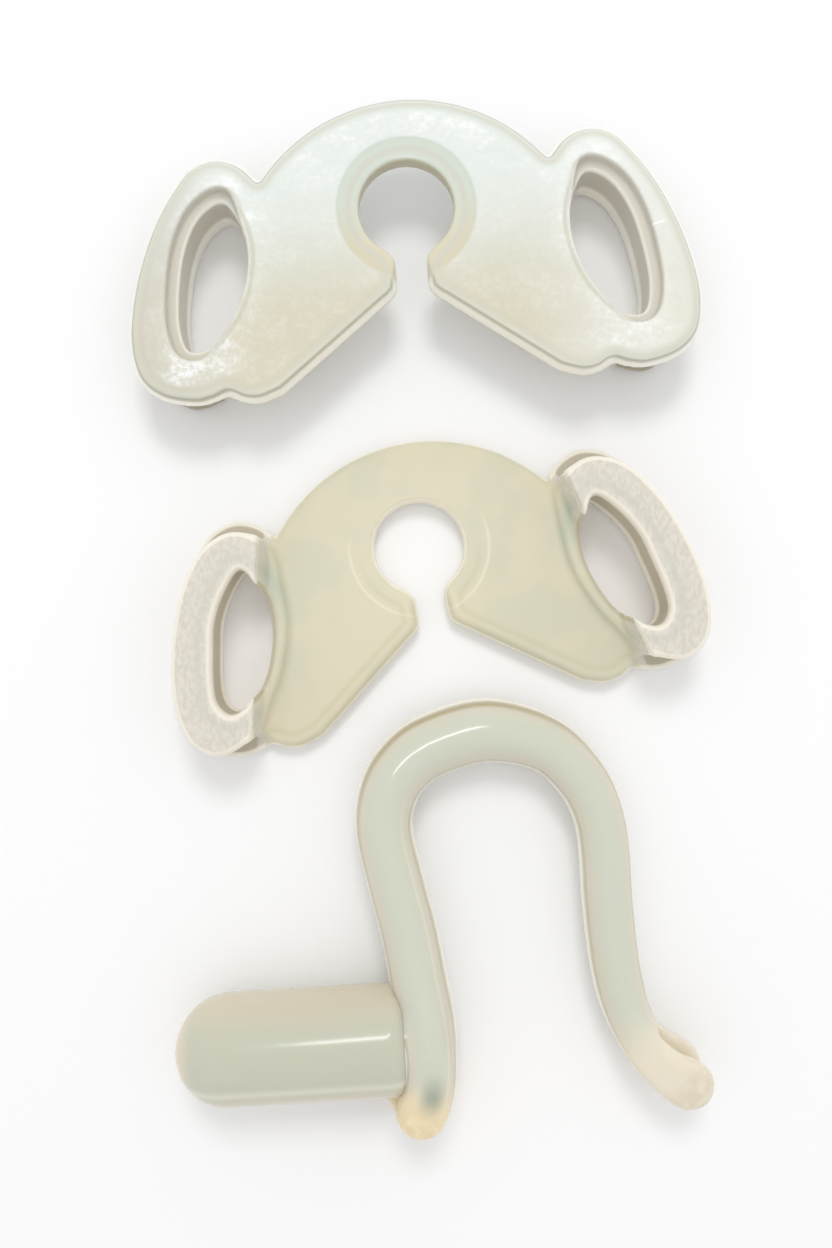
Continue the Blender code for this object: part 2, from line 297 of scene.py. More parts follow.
def relax_tree():
    """Tree that blurs the places of a mesh's points and sets its material."""
    graph, (mesh, passes, silicone) = new_tree("relax_moulding", (
        ("Mesh", "Geometry"), ("Passes", "Int"), ("Silicone", "Material")))
    place = graph.node("GeometryNodeInputPosition")
    blurred = graph.node("GeometryNodeBlurAttribute", {"data_type": "FLOAT_VECTOR"},
                         {"Value": place, "Iterations": passes}, "Value")
    moved = graph.node("GeometryNodeSetPosition", inputs={"Geometry": mesh, "Position": blurred})
    return close_tree(graph, moved, silicone)


RELAX = relax_tree()


# %% [markdown]
# The winged plate is one moulding: a flat body with a keyhole and a slot, and on each side a wing
# with a hole, made of a front flange, a wall round the hole, and a smaller rear flange. The two
# halves of the mould met half way down the edge, where the real part has a thin raised line. The
# upper part of the edge stands back from that line by the depth of the lip.
#
# All sizes are in millimetres and all angles in degrees. A plate's places are measured from the
# centre of its keyhole, and its heights from the rear face of its wings. The outlines are drawn for
# the right side, and the left side is their mirror image. The two plates share every outline but
# the wing's hole: the upper plate shows the hole's front, with a ledge round it, and the lower plate
# its back.

# %% Plate sizes
# Heights of the front face, of the backs of the body and of the front flange, and of the top of
# the rear flange. The rim round a wing's hole stands out from the body's back by RIM_HEIGHT.
WING_DEPTH = 12.5
BODY_BACK = 8.3
FLANGE_BACK = 10.3
REAR_FLANGE_TOP = 2.2
RIM_HEIGHT = 1.6
# The keyhole and the shallow ring sunk round it.
KEYHOLE_RADIUS = 7.5
RING_RADIUS = 10.9
RING_DEPTH = 0.15
# The crown is an arc down to the notch beside each wing. The keyhole is open below the neck.
CROWN_Y = 17.3
CROWN_RADIUS = 29.0
NOTCH_ANGLE = 38.8
NECK_ANGLE = -50.0
# How far each plate lies turned on the table, and the stretch above its keyhole that bends.
PLATE_TURN = {"upper": 5.0, "lower": 11.9}
FLEX_Y = (CROWN_Y + KEYHOLE_RADIUS) / 2
# Width and drop of the rounded edges.
FACE_SHOULDER = (2.3, 0.9)
BACK_SHOULDER = (2.3, 0.5)
REAR_SHOULDER = (1.6, 0.7)
HOLE_SHOULDER = (1.7, 0.6)
# The lip's depth, and the heights between which it stands out from the edge.
LIP = 0.6
FLANGE_LIP = (FLANGE_BACK, FLANGE_BACK + 0.9)
BODY_LIP = (BODY_BACK + 1.0, BODY_BACK + 2.1)
# The fillet between the front and the wall, and the ledge in the wing's hole.
FILLET = 1.3
LEDGE_WIDTH = {"upper": 1.6, "lower": 0.0}
LEDGE_DEPTH = 1.9
# The whole skin is this much thinner, so that the relaxed mesh stays inside the CAD box.
HAIR = 0.03
# Corners of the grid on which a plate's field is sampled.
PLATE_LOW = (-46.5, -29.5, -1.2)
PLATE_HIGH = (46.5, CROWN_Y + 1.2, WING_DEPTH + 1.2)

FRONT_FLANGE = [
    (25.2, 9.2), (28.9, 10.5), (32.7, 9.6), (35.4, 7.2), (39.2, 1.8), (42.1, -4.4),
    (44.1, -10.8), (45.0, -17.2), (44.0, -23.0), (40.6, -26.4), (35.5, -27.8), (32.2, -27.4),
    (30.0, -26.7), (27.6, -27.8), (24.9, -28.0), (21.5, -26.9),
]
REAR_FLANGE = [
    (23.6, 5.4), (26.4, 7.3), (29.8, 7.7), (34.2, 5.4), (38.2, -0.2), (41.2, -8.0),
    (42.6, -16.0), (41.6, -22.8), (38.1, -26.0), (34.6, -25.8), (31.2, -24.1),
]
WING_HOLES = {
    "upper": [
        (28.9, 3.9), (32.6, 1.7), (35.2, -3.1), (36.6, -9.3), (37.0, -15.0), (35.8, -18.9),
        (32.1, -18.4), (28.1, -14.1), (25.9, -8.8), (25.4, -3.6), (26.7, 1.2),
    ],
    "lower": [
        (28.4, 1.7), (31.5, -1.4), (33.8, -5.4), (34.9, -9.6), (35.9, -14.6), (35.9, -18.2),
        (34.0, -20.2), (30.9, -18.7), (28.0, -14.4), (26.1, -8.8), (25.8, -4.2), (26.6, -0.6),
    ],
}
WING_WALL = [
    (23.6, 5.3), (27.0, 6.6), (30.6, 5.8), (34.4, 3.0), (37.3, -2.4), (38.8, -9.0),
    (39.2, -15.3), (37.7, -21.0), (34.4, -24.2), (31.4, -24.4), (28.9, -20.0), (26.2, -15.6),
    (23.8, -9.4), (23.2, -3.4),
]
# The slot's side, the line of the body's edge past the hole, and the wing's root.
SLOT_SIDE = [(4.9, -14.6), (3.3, -13.4), (2.5, -12.0), (2.5, -8.5), (3.2, -7.1)]
BESIDE_HOLE = [(26.5, 5.0), (28.0, -8.0), (32.0, -24.0)]
WING_ROOT = [(24.2, 6.5), (32.2, -26.5)]


def both_sides(right):
    """Close an outline whose right side runs from the crown to the top of the keyhole."""
    return np.concatenate([right, right[-2:0:-1] * (-1, 1)])


def plate_edge(wing):
    """Outline of the plate from the crown round a wing, the slot and the keyhole."""
    crown = arc(CROWN_RADIUS, 90, NOTCH_ANGLE, 24, (0.0, CROWN_Y - CROWN_RADIUS))
    keyhole = arc(KEYHOLE_RADIUS, NECK_ANGLE, 90, 30)
    slot = smooth([*SLOT_SIDE, keyhole[0]], 4)
    return both_sides(np.concatenate([crown[:-1], wing(crown[-1]), slot[:-1], keyhole]))


FLANGE_EDGE = plate_edge(lambda notch: smooth([notch, *FRONT_FLANGE], 6))
BODY_EDGE = plate_edge(lambda notch: np.concatenate(
    [[notch], BESIDE_HOLE, smooth(FRONT_FLANGE[-4:], 6)]))
REAR_EDGE = smooth(REAR_FLANGE, 6)
WALL_EDGE = smooth(WING_WALL, 6, closed=True)
HOLE_EDGES = {name: smooth(hole, 6, closed=True) for name, hole in WING_HOLES.items()}


def beyond_root(side, y):
    """Distance past the line where a wing leaves the body, negative on the body's side."""
    (ax, ay), (bx, by) = WING_ROOT
    length = math.hypot(bx - ax, by - ay)
    return ((side - ax) * (ay - by) + (y - ay) * (bx - ax)) / length


def shoulder(edge, width, drop):
    """How much lower a rounded edge lies than the flat face beside it."""
    t = np.clip(1 + edge / width, 0, 1)
    return drop * (1 - np.sqrt(1 - t * t))


def plate_field(prefix, x, y, z):
    """Field of one plate, from the places of a grid in its own frame."""
    side = np.abs(x)
    flange = outline_distance(FLANGE_EDGE, x, y)
    body = outline_distance(BODY_EDGE, x, y)
    rear = outline_distance(REAR_EDGE, side, y)
    wall = outline_distance(WALL_EDGE, side, y)
    hole = outline_distance(HOLE_EDGES[prefix], side, y)
    beyond = beyond_root(side, y)
    on_wing = ramp(beyond, -2.0, 1.0)
    # The keyhole keeps a crisp edge; everywhere else the edge is rounded down to the lip.
    away = ramp(np.hypot(x, y), KEYHOLE_RADIUS + 0.6, RING_RADIUS)
    lip = LIP * away
    face = WING_DEPTH - away * shoulder(flange, *FACE_SHOULDER)
    face = face - on_wing * shoulder(-hole, *HOLE_SHOULDER)
    back = BODY_BACK + away * shoulder(body, *BACK_SHOULDER)
    solid = slab(flange + lip, z, FLANGE_BACK, face, 0.7)
    solid = melt(solid, slab(flange, z, *FLANGE_LIP, 0.4), 0.2)
    main = slab(body + lip, z, back, face, 0.5)
    main = melt(main, slab(body, z, *BODY_LIP, 0.4), 0.2)
    solid = melt(solid, main, 0.6)
    # On the wing the wall reaches down to the rear face, and on the body it is only a low rim.
    foot = (BODY_BACK - RIM_HEIGHT) * ramp(beyond, 0.4, -0.8)
    rear_face = shoulder(rear, *REAR_SHOULDER) + shoulder(-hole, *REAR_SHOULDER)
    wing = slab(wall, z, foot, WING_DEPTH - 1.0, 0.8)
    flat = slab(rear, z, np.maximum(rear_face, foot), np.maximum(REAR_FLANGE_TOP, foot + 0.2), 0.7)
    solid = melt(solid, melt(wing, flat, 0.8), FILLET)
    solid = carve(solid, hole, 1.2)
    # Away from the body a ledge runs round the hole, a little below the wing's face.
    wide = hole - LEDGE_WIDTH[prefix] * ramp(beyond, -0.5, 3.5)
    solid = carve(solid, slab(wide, z, WING_DEPTH - LEDGE_DEPTH, FAR, 0.3), 0.5)
    recess = slab(np.hypot(x, y) - RING_RADIUS, z, WING_DEPTH - RING_DEPTH, FAR, 0.2)
    return np.maximum(carve(solid, recess, 0.8) + HAIR, np.maximum(-z, z - WING_DEPTH))


# %% Plate surface
def sample(field, low, high):
    """Values of a field on a grid between two corners, and the corner it starts from."""
    axes = [np.arange(a, b + GRID_MM, GRID_MM) for a, b in zip(low, high)]
    x, y = np.meshgrid(axes[0], axes[1], indexing="ij")
    return field(x[..., None], y[..., None], axes[2][None, None, :]), low


def plate_skin(prefix):
    """Surface of one plate in its own frame, in millimetres."""
    values, corner = sample(lambda x, y, z: plate_field(prefix, x, y, z), PLATE_LOW, PLATE_HIGH)
    print(prefix, "plate field:", values.shape, "samples")
    return skin_of(prefix + "_plate_moulding", values, corner)


# %% [markdown]
# Light runs inside milky silicone and leaves it at the edges, so a plate has a bright line round
# its rim and a duller band just inside it. No shader sees the rim, but the mesh can carry it:
# each point stores its distance from the outline, from the wing's hole and from the wing's root,
# and its own place on the moulding. The materials read those numbers.

# %% Numbers stored on the plate
def store(mesh, name, values):
    """Store a number for each point of a mesh."""
    layer = mesh.attributes.new(name, "FLOAT", "POINT")
    layer.data.foreach_set("value", np.ravel(values).astype(np.float32))


def points_of(mesh):
    """Places of a mesh's points as an array."""
    flat = np.empty(len(mesh.vertices) * 3, np.float32)
    mesh.vertices.foreach_get("co", flat)
    return flat.reshape(-1, 3).astype(float)


def describe_plate(prefix, mesh):
    """Store what a plate's material needs to know about each point, in millimetres."""
    x, y, z = points_of(mesh).T
    side = np.abs(x)
    # Beyond the root, the lowest 3 mm belong to the rear flange.
    on_rear = (z < 3.0) & (beyond_root(side, y) > 0)
    edge = np.where(on_rear, outline_distance(REAR_EDGE, side, y),
                    outline_distance(FLANGE_EDGE, x, y))
    store(mesh, "outline", -edge)
    store(mesh, "hole", outline_distance(HOLE_EDGES[prefix], side, y))
    store(mesh, "root", beyond_root(side, y))
    store(mesh, "keyhole", np.hypot(x, y))
    for label, values in zip(("right", "up", "front"), (x, y, z)):
        store(mesh, label, values)


def make_plate(prefix, face_down, material):
    """Make one plate where its hinge in the frame says that it lies."""
    name = prefix + "_plate"
    made = plate_skin(prefix)
    run_tree(made, RELAX, passes=2, silicone=material)
    describe_plate(prefix, made.data)
    turn = math.radians(PLATE_TURN[prefix])
    up = Vector((-math.sin(turn), math.cos(turn), 0))
    right = Vector((math.cos(turn), math.sin(turn), 0))
    flex = pivots[prefix + "_plate_slot"]
    centre = flex - up * FLEX_Y
    spots = points_of(made.data)
    across, front = (-1, WING_DEPTH - spots[:, 2]) if face_down else (1, spots[:, 2])
    placed = np.outer(spots[:, 0] * across, right) + np.outer(spots[:, 1], up)
    placed += np.array((centre.x, centre.y, 0))
    placed[:, 2] += front
    made.data.vertices.foreach_set("co", (placed * MM).astype(np.float32).ravel())
    made.data.update()
    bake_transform(made)
    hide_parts(name + "_left_half", name + "_right_half")
    return made


# %% [markdown]
# The bow is a soft rod bent like a hairpin, oval in section, with a hollow foot at each end that
# the lip rests in. A bevelled curve could make the rod, but not the feet, where the section opens
# into a channel with one flange standing further out than the other. In a field the rod is just
# the distance to a centre line measured against the section's width and height at that place,
# and the channel is carved out of it. A short thick root is melted to the left leg where the handle
# joins it, so that the two read as one moulding.

# %% Bow sizes
# Each station: place across and along the bow, height, half width and half height.
LEFT_LEG = [
    (-0.3, -79.3, 7.0, 3.6, 5.6), (0.6, -76.9, 7.4, 4.2, 6.4), (2.1, -72.3, 8.2, 4.1, 6.9),
    (2.4, -66.0, 8.6, 4.1, 7.3), (1.7, -61.2, 8.6, 4.4, 6.8), (0.5, -56.5, 8.4, 4.6, 5.6),
    (-1.1, -48.7, 8.0, 4.6, 4.6), (-3.2, -40.9, 7.4, 4.6, 4.6), (-5.1, -33.0, 6.6, 4.6, 4.6),
    (-4.5, -27.2, 6.2, 4.8, 4.8), (-1.9, -22.7, 5.8, 5.0, 5.0), (2.7, -19.4, 5.4, 5.2, 5.2),
    (11.5, -17.1, 5.3, 5.2, 5.2),
]
RIGHT_LEG = [
    (20.9, -19.4, 5.3, 4.6, 4.7), (26.5, -24.7, 5.6, 4.3, 4.4), (29.2, -30.3, 6.0, 4.1, 4.2),
    (30.2, -36.3, 6.2, 4.1, 4.1), (30.7, -44.3, 6.3, 4.1, 4.1), (31.8, -53.9, 6.4, 4.0, 4.1),
    (33.4, -60.4, 6.4, 3.9, 4.3), (36.0, -66.0, 6.4, 3.7, 5.0), (39.2, -69.7, 6.4, 3.9, 5.9),
    (42.7, -72.1, 6.4, 4.2, 6.2), (46.0, -73.4, 6.4, 3.4, 5.4),
]
# The round tips fill the last stretch at both ends of the centre line.
TIP = 3.4
# The foot's channel, and how far the left foot's lower flange stands out and the right foot's
# upper one stands back.
CHANNEL_HEIGHT = 6.4
CHANNEL_WALL = 1.8
CHANNEL_LENGTH = 14.0
LEFT_FLANGE_REACH = 1.5
RIGHT_FLANGE_REACH = 0.5
# The handle rod from the centre of its dome to its end, and the root that holds it, which reaches
# a little to both sides of that end.
HANDLE_RADIUS = 8.55
HANDLE_DOME = (-29.4, -67.3)
HANDLE_END = (-1.9, -65.6)
ROOT_RADIUS = 7.0
ROOT_MIDDLE = 0.5
ROOT_REACH = 3.0
ROOT_FILLET = 1.5
# The bow's grid: its margin round the centre line, and its lowest and highest places.
BOW_MARGIN = 7.5
BOW_LOW = -0.6
BOW_HIGH = 17.0

# The layout's origin, from the crown, which is the bow's hinge.
crown = pivots["bow_squeeze"]
LAYOUT = Vector((crown.x - LEFT_LEG[-1][0], crown.y - LEFT_LEG[-1][1], 0))
bow_line = smooth(LEFT_LEG + RIGHT_LEG, 6)
bow_line[:, :2] += LAYOUT.xy
steps_along = np.linalg.norm(np.diff(bow_line[:, :2], axis=0), axis=1)
bow_length = float(steps_along.sum())
print(f"bow centre line: {bow_length:.1f} mm, {len(bow_line)} points")


def beside_line(line, x, y):
    """Nearest point of a centre line to each place: offset to its left, way along it, and the
    height, half width and half height there. The offset is unsigned past the ends."""
    nearest = np.full(x.shape, FAR)
    offset, way = np.zeros(x.shape), np.zeros(x.shape)
    section = np.zeros((3,) + x.shape)
    travelled = 0.0
    for a, b in zip(line, line[1:]):
        ex, ey = b[0] - a[0], b[1] - a[1]
        length = math.hypot(ex, ey)
        t = np.clip(((x - a[0]) * ex + (y - a[1]) * ey) / length ** 2, 0, 1)
        dx, dy = x - a[0] - ex * t, y - a[1] - ey * t
        squared = dx * dx + dy * dy
        closer = squared < nearest
        nearest = np.where(closer, squared, nearest)
        left = np.where(ex * dy - ey * dx < 0, -1.0, 1.0)
        offset = np.where(closer, left * np.sqrt(squared), offset)
        way = np.where(closer, travelled + t * length, way)
        for k in range(3):
            section[k] = np.where(closer, a[2 + k] + t * (b[2 + k] - a[2 + k]), section[k])
        travelled += length
    return offset, way, section


def trimmed(line, cut):
    """A centre line without the last stretch at both ends, which the round tips fill."""
    for _ in range(2):
        rest = cut
        while np.linalg.norm(line[1, :2] - line[0, :2]) < rest:
            rest -= np.linalg.norm(line[1, :2] - line[0, :2])
            line = line[1:]
        share = rest / np.linalg.norm(line[1, :2] - line[0, :2])
        line = np.concatenate([[line[0] + (line[1] - line[0]) * share], line[1:]])[::-1]
    return line


def channel(way_in, offset, up, width):
    """Field of a foot's channel, which opens to the left of the centre line."""
    share = np.clip(way_in / CHANNEL_LENGTH, 0, 1)
    floor = (CHANNEL_WALL - width) * (1 - share ** 3) + (width + 1.0) * share ** 3
    return np.maximum(np.abs(up) - CHANNEL_HEIGHT / 2, floor - offset)


rod_line = trimmed(bow_line, TIP)


def handle_root(x, y, z):
    """Field of the thick root by which the left leg holds the handle rod."""
    end = Vector(HANDLE_END) + LAYOUT.xy
    way = (Vector(HANDLE_END) - Vector(HANDLE_DOME)).normalized()
    past = (x - end.x) * way.x + (y - end.y) * way.y
    aside = (y - end.y) * way.x - (x - end.x) * way.y
    round_way = np.hypot(aside, z - HANDLE_RADIUS) - ROOT_RADIUS
    return np.maximum(round_way, np.abs(past - ROOT_MIDDLE) - ROOT_REACH)


def bow_field(x, y, z):
    """Field of the bow with both of its feet."""
    offset, way, (middle, width, height) = beside_line(rod_line, x, y)
    up = z - middle
    left_in, right_in = way + TIP, way.max() - way + TIP
    # On the open side the left foot's lower flange stands out, and the right foot's upper
    # one stands back, except at its tip.
    low = ramp(up, 1.5, -1.5)
    open_side = ramp(offset, 0.0, width)
    spread = LEFT_FLANGE_REACH * low * ramp(left_in, 14.0, 7.0)
    set_back = ramp(right_in, 5.0, 10.0) * ramp(right_in, 22.0, 15.0)
    spread = spread - RIGHT_FLANGE_REACH * (1 - low) * set_back
    across = np.abs(offset) - spread * open_side
    # The section is an oval on the legs, and squarer on the feet, whose lips are flat.
    square = 2 + 2 * np.maximum(ramp(left_in, 16.0, 10.0), ramp(right_in, 16.0, 10.0))
    side, tall = np.maximum(np.abs(across), 1e-3) / width, np.maximum(np.abs(up), 1e-3) / height
    near = (side ** square + tall ** square) ** (1 / square)
    steep = np.hypot(side ** (square - 1) / width, tall ** (square - 1) / height)
    rod = (near - 1) * near ** (square - 1) / np.maximum(steep, 1e-4)
    rod = melt(rod, handle_root(x, y, z), ROOT_FILLET)
    rod = carve(rod, channel(left_in, offset, up, width), 0.8)
    rod = carve(rod, channel(right_in, offset, up, width), 1.2)
    return np.maximum(rod, -z)


def make_bow(material):
    """Make the bow in one piece."""
    low = bow_line[:, :2].min(axis=0) - BOW_MARGIN
    high = bow_line[:, :2].max(axis=0) + BOW_MARGIN
    values, corner = sample(bow_field, (*low, BOW_LOW), (*high, BOW_HIGH))
    made = skin_of("bow_moulding", values, corner)
    run_tree(made, RELAX, passes=2, silicone=material)
    x, y, _ = points_of(made.data).T
    offset, way, (_, width, _) = beside_line(bow_line, x, y)
    store(made.data, "across", offset / width)
    store(made.data, "along", way)
    made.data.transform(TO_METRES)
    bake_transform(made)
    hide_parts("bow_left_leg", "bow_right_leg")
    return made


# %% [markdown]
# The handle is a round rod with a domed end. Its shape follows one rule, so Geometry Nodes make
# it: a straight curve whose radius follows a quarter circle at the dome and a small one at the
# other end, swept by a circle. The tree's inputs are the rod's sizes.

# %% Handle rod
# The plain end's rounding, and how far it reaches past HANDLE_END.
HANDLE_ROUNDING = 2.4
HANDLE_SINK = 0.4


def rod_tree():
    """Tree of a rod along +X with a domed start and a rounded end."""
    graph, (length, radius, rounding, steps, sides, silicone) = new_tree("domed_rod", (
        ("Length", "Float"), ("Radius", "Float"), ("Rounding", "Float"), ("Steps", "Int"),
        ("Sides", "Int"), ("Silicone", "Material")))
    line = graph.node("GeometryNodeCurvePrimitiveLine")
    line = graph.node("GeometryNodeResampleCurve", inputs={"Curve": line, "Count": steps})
    # Points crowd towards both ends: the place along the rod is a cosine of the step.
    share = graph.node("GeometryNodeInputIndex") / (steps - 1)
    place = length * (0.5 - 0.5 * graph.maths("COSINE", share * math.pi))
    moved = graph.node("ShaderNodeCombineXYZ", inputs={"X": place})
    line = graph.node("GeometryNodeSetPosition", inputs={"Geometry": line, "Position": moved})
    short = graph.maths("MAXIMUM", radius - place, 0.0)
    dome = graph.maths("SQRT", graph.maths("MAXIMUM", radius * radius - short * short, 0.0))
    over = graph.maths("MAXIMUM", place - length + rounding, 0.0)
    corner = graph.maths("MAXIMUM", rounding * rounding - over * over, 0.0)
    size = dome - rounding + graph.maths("SQRT", corner)
    ring = graph.node("GeometryNodeCurvePrimitiveCircle",
                      inputs={"Resolution": sides, "Radius": 1.0})
    rod = graph.node("GeometryNodeCurveToMesh", inputs={
        "Curve": line, "Profile Curve": ring, "Scale": size, "Fill Caps": True})
    rod = graph.node("GeometryNodeMergeByDistance", inputs={"Geometry": rod, "Distance": 0.01})
    return close_tree(graph, rod, silicone)


ROD = rod_tree()


def make_handle(material):
    """Make the handle rod, its plain end sunk a little into its root."""
    start, end = Vector(HANDLE_DOME) + LAYOUT.xy, Vector(HANDLE_END) + LAYOUT.xy
    along = (end - start).normalized()
    apex = start - along * HANDLE_RADIUS
    length = (end - apex).length + HANDLE_SINK
    made = bpy.data.objects.new("handle_rod_moulding", bpy.data.meshes.new("handle"))
    bpy.context.scene.collection.objects.link(made)
    run_tree(made, ROD, length=length, radius=HANDLE_RADIUS, rounding=HANDLE_ROUNDING,
             steps=72, sides=128, silicone=material)
    x, y, _ = points_of(made.data).T
    store(made.data, "along", x)
    store(made.data, "across", y / HANDLE_RADIUS)
    lying = Matrix.Translation((apex.x, apex.y, HANDLE_RADIUS))
    lying = lying @ Matrix.Rotation(math.atan2(along.y, along.x), 4, "Z")
    made.data.transform(TO_METRES @ lying)
    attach(made, "bow")
    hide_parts("handle_rod")
    return made


# %% [markdown]
# Silicone is milky: light enters it, scatters, and comes out tinted. Real volume scattering is
# slow and noisy in a thin part, so the materials use the Principled shader's own subsurface
# scattering, at one constant strength, and carry the tints in their base colour.

# %% Silicone
# Share, reach and colour of the scattering, and how strongly silicone bends light.
SCATTER = 0.5
SCATTER_MM = 2.0
SCATTER_COLOUR = (1.0, 0.95, 0.75)
REFRACTION = 1.41


def rgb(red, green, blue):
    """Linear colour of a display colour in 0-255."""
    linear = [c / 12.92 if c < 0.04045 else ((c + 0.055) / 1.055) ** 2.4
              for c in (red / 255, green / 255, blue / 255)]
    return (*linear, 1.0)


class Silicone(Graph):
    """A soft plastic's material being made."""

    def __init__(self, name):
        self.material = bpy.data.materials.new(name)
        self.material.use_nodes = True
        super().__init__(self.material.node_tree)
        self.tree.nodes.clear()
        self.place = self.node("ShaderNodeTexCoord", output="Object")

    def number(self, name):
        """A number that the mesh carries."""
        return self.node("ShaderNodeAttribute", {"attribute_name": name}, output="Fac")

    def noise(self, size_mm, detail=2.0, stretch=(1.0, 1.0, 1.0)):
        """Cloudy pattern between 0 and 1, as coarse as a size in millimetres."""
        scale = tuple(s / (size_mm * MM) for s in stretch)
        where = self.node("ShaderNodeVectorMath", {"operation": "MULTIPLY"},
                          {0: self.place, 1: scale})
        return self.node("ShaderNodeTexNoise", {}, {
            "Vector": where, "Scale": 1.0, "Detail": detail, "Roughness": 0.55}, "Fac")

    def tint(self, colour, onto, share):
        """Paint a colour onto another as far as a share from 0 to 1 says."""
        return self.node("ShaderNodeMix", {"data_type": "RGBA"}, {
            "Factor_Float": share, "A_Color": onto, "B_Color": colour}, "Result_Color")

    def cast(self, colour, roughness, height, bump_mm=0.03):
        """Finish the material with a surface and its bump."""
        normal = self.node("ShaderNodeBump", {}, {
            "Height": height, "Distance": bump_mm * MM, "Strength": 1.0}, "Normal")
        surface = self.node("ShaderNodeBsdfPrincipled", {}, {
            "Base Color": colour, "Roughness": roughness, "Normal": normal, "IOR": REFRACTION,
            "Subsurface Weight": SCATTER, "Subsurface Scale": SCATTER_MM * MM,
            "Subsurface Radius": SCATTER_COLOUR}, "BSDF")
        end = self.tree.nodes.new("ShaderNodeOutputMaterial")
        self.tree.links.new(surface.socket, end.inputs["Surface"])
        return self.material


def frosted():
    """Front of the upper plate: mint and white, with a sparkling frost on the flat face."""
    paint = Silicone("frosted_silicone")
    up, front, root = paint.number("up"), paint.number("front"), paint.number("root")
    outline, hole, keyhole = paint.number("outline"), paint.number("hole"), paint.number("keyhole")
    right = paint.number("right")
    lower = paint.fade(up, 6.0, -18.0)
    colour = paint.tint(rgb(211, 206, 185), rgb(223, 228, 223), lower)
    colour = paint.tint(rgb(230, 231, 226), colour, 0.6 * paint.fade(right, 14.0, 34.0))
    colour = paint.tint(rgb(204, 201, 190), colour, 0.6 * paint.fade(right, -26.0, -38.0))
    patches = paint.fade(paint.noise(7.0, 4.0, (1.0, 1.7, 1.0)), 0.42, 0.64)
    speckle = paint.fade(paint.noise(0.8, 4.0), 0.44, 0.60)
    # Frost lies on the flat face only, and most of it near the crown and along the wings.
    flat = paint.fade(front, 11.8, 12.4) * paint.fade(outline, 2.2, 3.2)
    flat = flat * paint.fade(keyhole, 10.6, 11.2)
    place = 0.25 + 0.75 * paint.maths("MAXIMUM", paint.fade(up, 2.0, 14.0),
                                      paint.band(root, -3.0, 8.0, 3.0))
    frost = flat * place * (0.35 + 0.5 * patches) * (0.45 + 0.55 * speckle)
    colour = paint.tint(rgb(246, 248, 247), colour, frost)
    ringed = paint.tint(rgb(216, 209, 186), rgb(210, 217, 206), paint.fade(up, 3.0, -7.0))
    ring = paint.fade(keyhole, 11.1, 10.7) * paint.fade(front, 11.4, 12.0)
    colour = paint.tint(ringed, colour, ring)
    # Painted shade: the keyhole's wall is darkened to an olive beige, as it looks in shade.
    keyhole_wall_shade = paint.fade(keyhole, 8.4, 7.9) * paint.band(front, 8.8, 11.9, 0.3)
    colour = paint.tint(rgb(188, 182, 156), colour, 0.9 * keyhole_wall_shade)
    # Painted light and shade round the edge: inside the painted bright rim of light the edge has a
    # dull band of painted shade, with a thin dark line of painted shade between the two.
    colour = paint.tint(rgb(209, 208, 196), colour, 0.8 * paint.band(outline, 1.1, 2.0, 0.5))
    line = paint.band(outline, 0.75, 1.0, 0.15) * paint.fade(front, 10.4, 11.2)
    away = paint.fade(keyhole, 10.8, 12.0)
    colour = paint.tint(rgb(170, 171, 157), colour, 0.8 * away * line)
    # Painted light: the bright line where light leaves the silicone at its edge.
    rim_glow = paint.fade(outline, 0.7, 0.5) * paint.fade(front, 9.9, 10.9) * away
    colour = paint.tint(rgb(246, 243, 234), colour, 0.9 * rim_glow)
    # Painted light: a cream line of light along the lower edge of the plate's side.
    lower_edge_glow = paint.fade(front, 9.2, 8.7) * paint.fade(outline, 0.6, 0.3)
    colour = paint.tint(rgb(240, 233, 217), colour, 0.7 * lower_edge_glow)
    # Painted shade: the body's side wall is darkened to olive brown, as on its shaded side.
    side = paint.band(front, 9.4, 10.4, 0.3) * paint.fade(outline, 0.5, 0.25)
    colour = paint.tint(rgb(196, 188, 166), colour, 0.6 * side * paint.fade(root, 0.0, -1.0))
    wing = paint.fade(root, -0.5, 2.0)
    colour = paint.tint(rgb(212, 208, 195), colour, 0.8 * wing * paint.band(hole, 0.1, 1.7, 0.3))
    # Painted shade on the small step at the outer edge of the ledge.
    ledge_step_shade = paint.band(hole, 1.45, 1.9, 0.25) * wing
    colour = paint.tint(rgb(204, 201, 190), colour, 0.6 * ledge_step_shade)
    # Painted light: a bright line along the edge of the wing's hole.
    hole_rim_glow = paint.band(hole, -0.1, 0.35, 0.2) * paint.fade(front, 9.6, 10.2)
    colour = paint.tint(rgb(244, 239, 228), colour, 0.9 * hole_rim_glow)
    # Painted light and shade on the body's side of the hole: an olive band of painted shade, and a
    # bright line of painted light at its edge.
    near_body = paint.fade(root, 1.5, 0.0)
    colour = paint.tint(rgb(200, 198, 182), colour,
                        0.7 * near_body * paint.band(hole, 0.7, 1.4, 0.3))
    colour = paint.tint(rgb(243, 239, 228), colour, 0.8 * near_body * paint.fade(hole, 0.5, 0.2))
    # The silicone met itself here as it filled the mould, and left a fine straight line.
    knit = paint.band(up - 0.22 * right, -14.55, -14.25, 0.12) * paint.fade(right, 36.0, 36.6)
    colour = paint.tint(rgb(253, 253, 252), colour, 0.8 * knit * flat)
    # Painted shade in the gap between the wing's flanges.
    flange_gap_shade = paint.fade(front, 10.0, 9.2) * paint.fade(hole, 0.8, 1.2) * paint.fade(root, 0.2, 0.8)
    colour = paint.tint(rgb(158, 150, 130), colour, 0.9 * flange_gap_shade)
    # Painted shade and light on the wall of the wing's hole: the wall is darkened, with a band of
    # painted light low on it, by the rear flange.
    wall = paint.fade(hole, 0.9, 0.5) * paint.fade(front, 9.9, 9.5)
    colour = paint.tint(rgb(208, 204, 192), colour, wall)
    colour = paint.tint(rgb(252, 248, 240), colour, wall * paint.fade(front, 5.0, 3.4))
    rough = 0.36 + 0.22 * flat - 0.08 * ring
    height = 0.6 * flat * speckle + 0.4 * paint.noise(2.5)
    return paint.cast(colour, rough, height)


